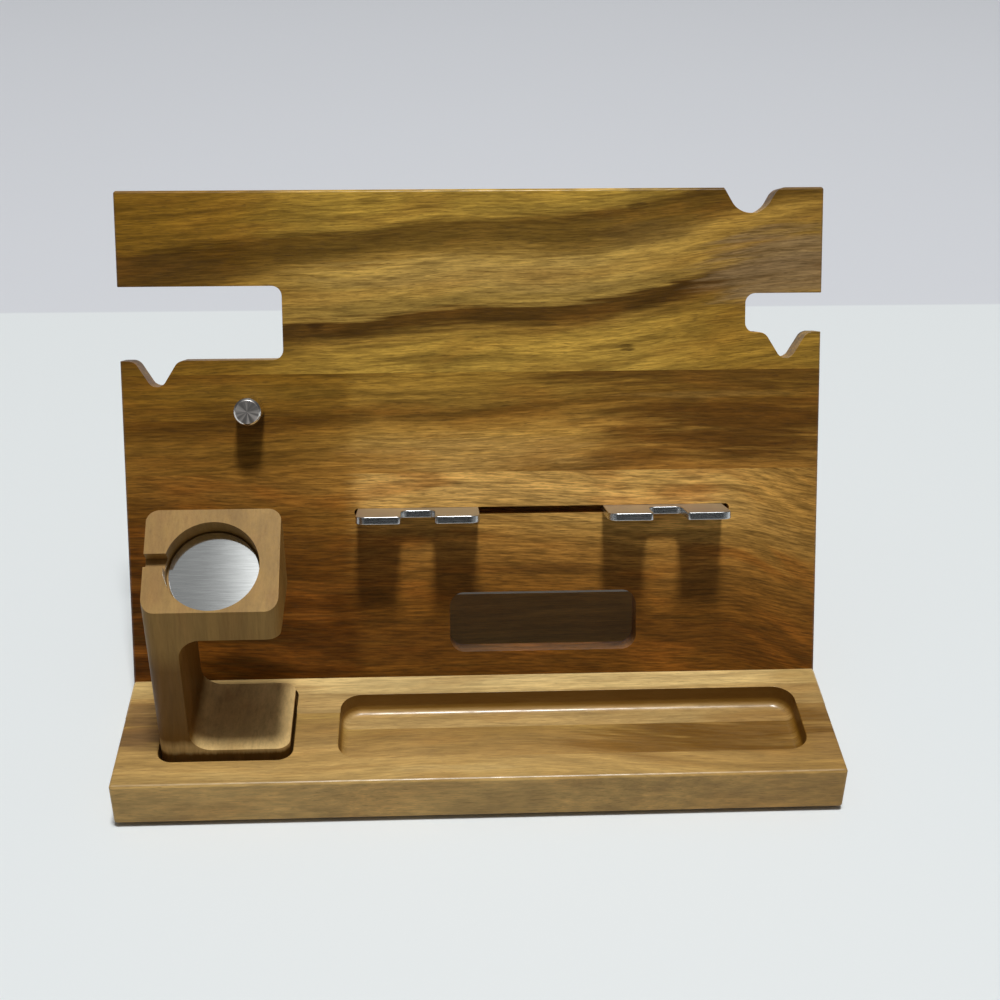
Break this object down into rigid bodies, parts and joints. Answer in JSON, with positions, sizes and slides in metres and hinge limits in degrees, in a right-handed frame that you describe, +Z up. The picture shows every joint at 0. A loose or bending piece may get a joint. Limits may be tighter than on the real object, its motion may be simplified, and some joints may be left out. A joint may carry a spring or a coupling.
{
  "type": "bedside docking station",
  "caption": "Wooden bedside docking station: base with a tray, leaning back board with hanging slots, key peg, sliding phone rests and a lift-out watch stand.",
  "frame": {"origin": "middle of the overall box, on the surface that the feet stand on", "axes": "+X to the right seen from the front, +Y towards the back, +Z up"},
  "size_m": [0.282, 0.1546, 0.2012],
  "materials": {
    "oiled_acacia": "oiled, satin",
    "pale_acacia": "oiled, satin",
    "polished_steel": "polished",
    "zinc_screws": "zinc plated",
    "brushed_disc": "brushed",
    "foam_tape": "double-sided foam tape",
    "foot_pad": "soft, matte"
  },
  "bodies": {
    "dock": {"base_front_strip": "oiled_acacia", "base_middle_strip": "oiled_acacia", "base_rear_strip": "oiled_acacia", "back_board_lower": "oiled_acacia", "back_board_middle": "oiled_acacia", "back_board_top": "oiled_acacia", "back_board_screws": "zinc_screws", "key_peg": "polished_steel", "key_peg_screw": "zinc_screws", "foot_front_left": "foot_pad", "foot_front_right": "foot_pad", "foot_rear_left": "foot_pad", "foot_rear_right": "foot_pad"},
    "watch_block": {"watch_stand": "pale_acacia", "watch_disc": "brushed_disc", "watch_disc_tape": "foam_tape"},
    "left_rest": {"phone_rest_left": "polished_steel"},
    "right_rest": {"phone_rest_right": "polished_steel"}
  },
  "joints": [
    {"name": "watch_stand_lift", "type": "slide", "parent": "dock", "child": "watch_block", "axis": [0, 0, 1], "range_m": [0, 0.04]},
    {"name": "left_rest_slide", "type": "slide", "parent": "dock", "child": "left_rest", "axis": [1, 0, 0], "range_m": [0, 0.0245]},
    {"name": "right_rest_slide", "type": "slide", "parent": "dock", "child": "right_rest", "axis": [1, 0, 0], "range_m": [-0.0245, 0.0018]}
  ]
}
